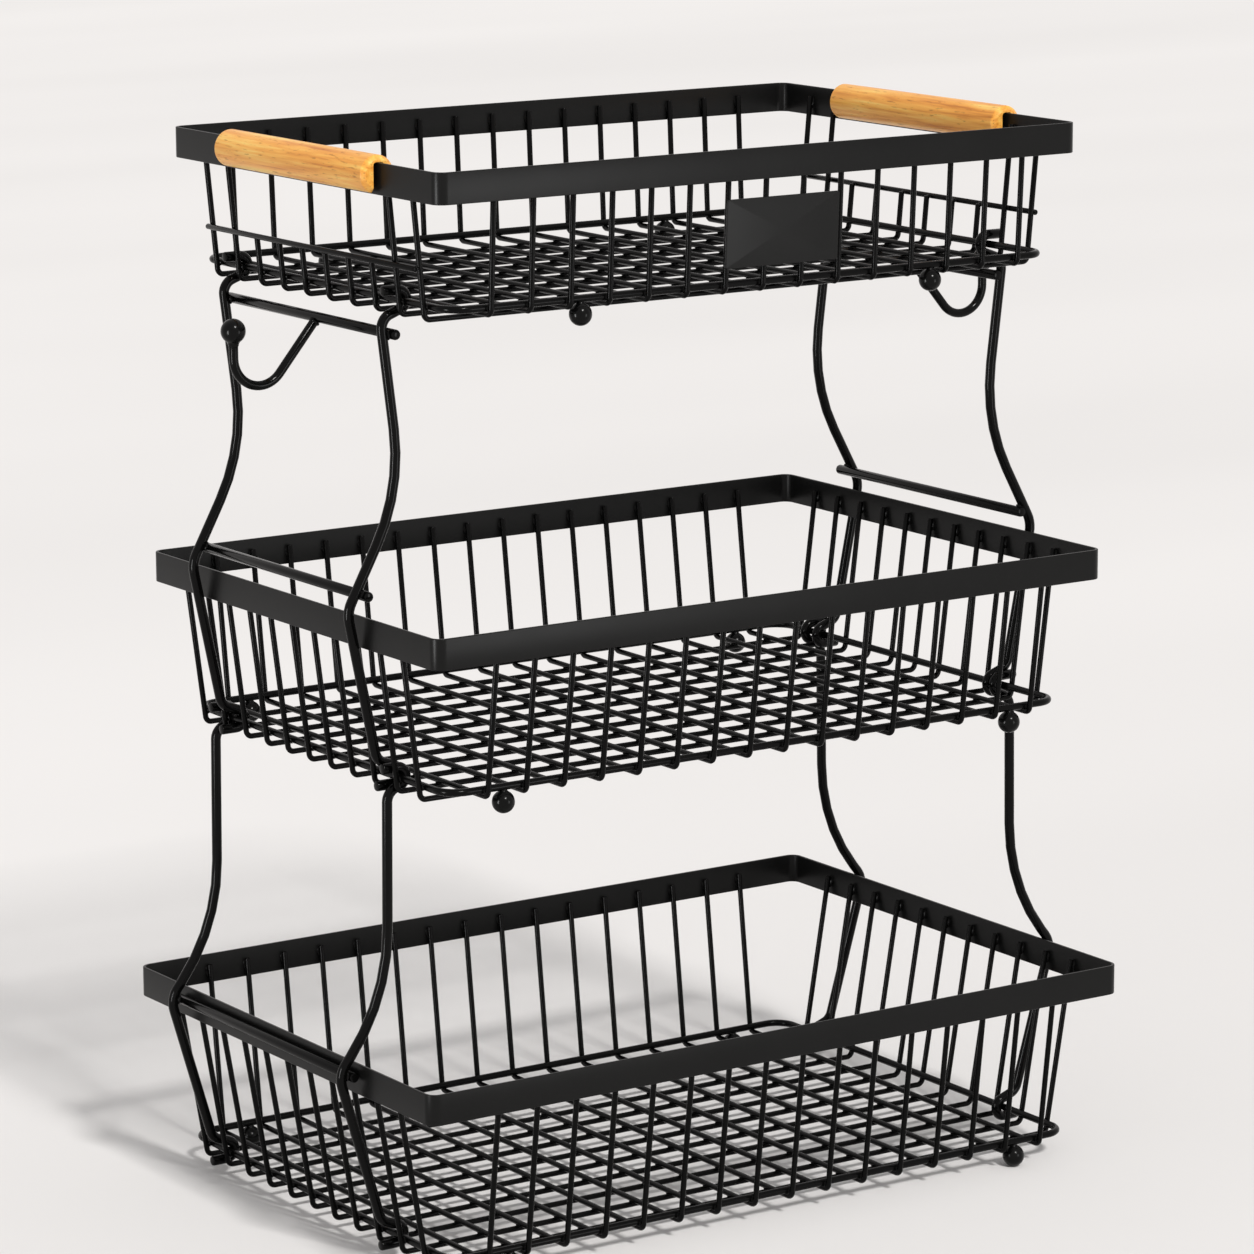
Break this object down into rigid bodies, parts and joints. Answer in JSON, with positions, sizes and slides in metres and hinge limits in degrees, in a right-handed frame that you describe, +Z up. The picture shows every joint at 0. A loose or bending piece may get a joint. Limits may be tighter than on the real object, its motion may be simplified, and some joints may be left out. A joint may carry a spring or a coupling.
{
  "type": "three-tier wire produce basket",
  "caption": "Countertop produce stand: tapered rectangular wire baskets stacked on hook-on wire side frames, with wooden handles and banana hooks.",
  "frame": {"origin": "on the table, under the middle of the stand", "axes": "+Z up; +X along the long side, to the right as seen from the front; the blank name plate faces -Y"},
  "size_m": [0.4556, 0.282, 0.5307],
  "materials": {
    "wire_paint": "satin black powder coat on drawn steel wire",
    "rim_paint": "satin black powder coat on flat steel strip",
    "frame_paint": "satin black powder coat on thick steel wire",
    "plate_paint": "satin black powder coat on sheet steel",
    "ball_paint": "glossier black coat on welded balls",
    "handle_wood": "clear-varnished honey-brown hardwood"
  },
  "bodies": {
    "root": {"banana_hook_ball_left": "ball_paint", "banana_hook_ball_right": "ball_paint", "banana_hook_left": "frame_paint", "banana_hook_right": "frame_paint", "bottom_base_ring": "wire_paint", "bottom_cross_wires": "wire_paint", "bottom_feet": "ball_paint", "bottom_long_wires": "wire_paint", "bottom_rim": "rim_paint", "lower_left_back_leg": "frame_paint", "lower_left_crossbar": "frame_paint", "lower_left_front_leg": "frame_paint", "lower_right_back_leg": "frame_paint", "lower_right_crossbar": "frame_paint", "lower_right_front_leg": "frame_paint", "middle_base_ring": "wire_paint", "middle_cross_wires": "wire_paint", "middle_feet": "ball_paint", "middle_long_wires": "wire_paint", "middle_rim": "rim_paint", "name_plate": "plate_paint", "top_base_ring": "wire_paint", "top_cross_wires": "wire_paint", "top_feet": "ball_paint", "top_long_wires": "wire_paint", "top_rim": "rim_paint", "top_side_rail_left": "wire_paint", "top_side_rail_right": "wire_paint", "upper_left_back_leg": "frame_paint", "upper_left_front_leg": "frame_paint", "upper_left_knee_crossbar": "frame_paint", "upper_left_top_crossbar": "frame_paint", "upper_right_back_leg": "frame_paint", "upper_right_front_leg": "frame_paint", "upper_right_knee_crossbar": "frame_paint", "upper_right_top_crossbar": "frame_paint", "wooden_handle_left": "handle_wood", "wooden_handle_right": "handle_wood"}
  },
  "joints": []
}
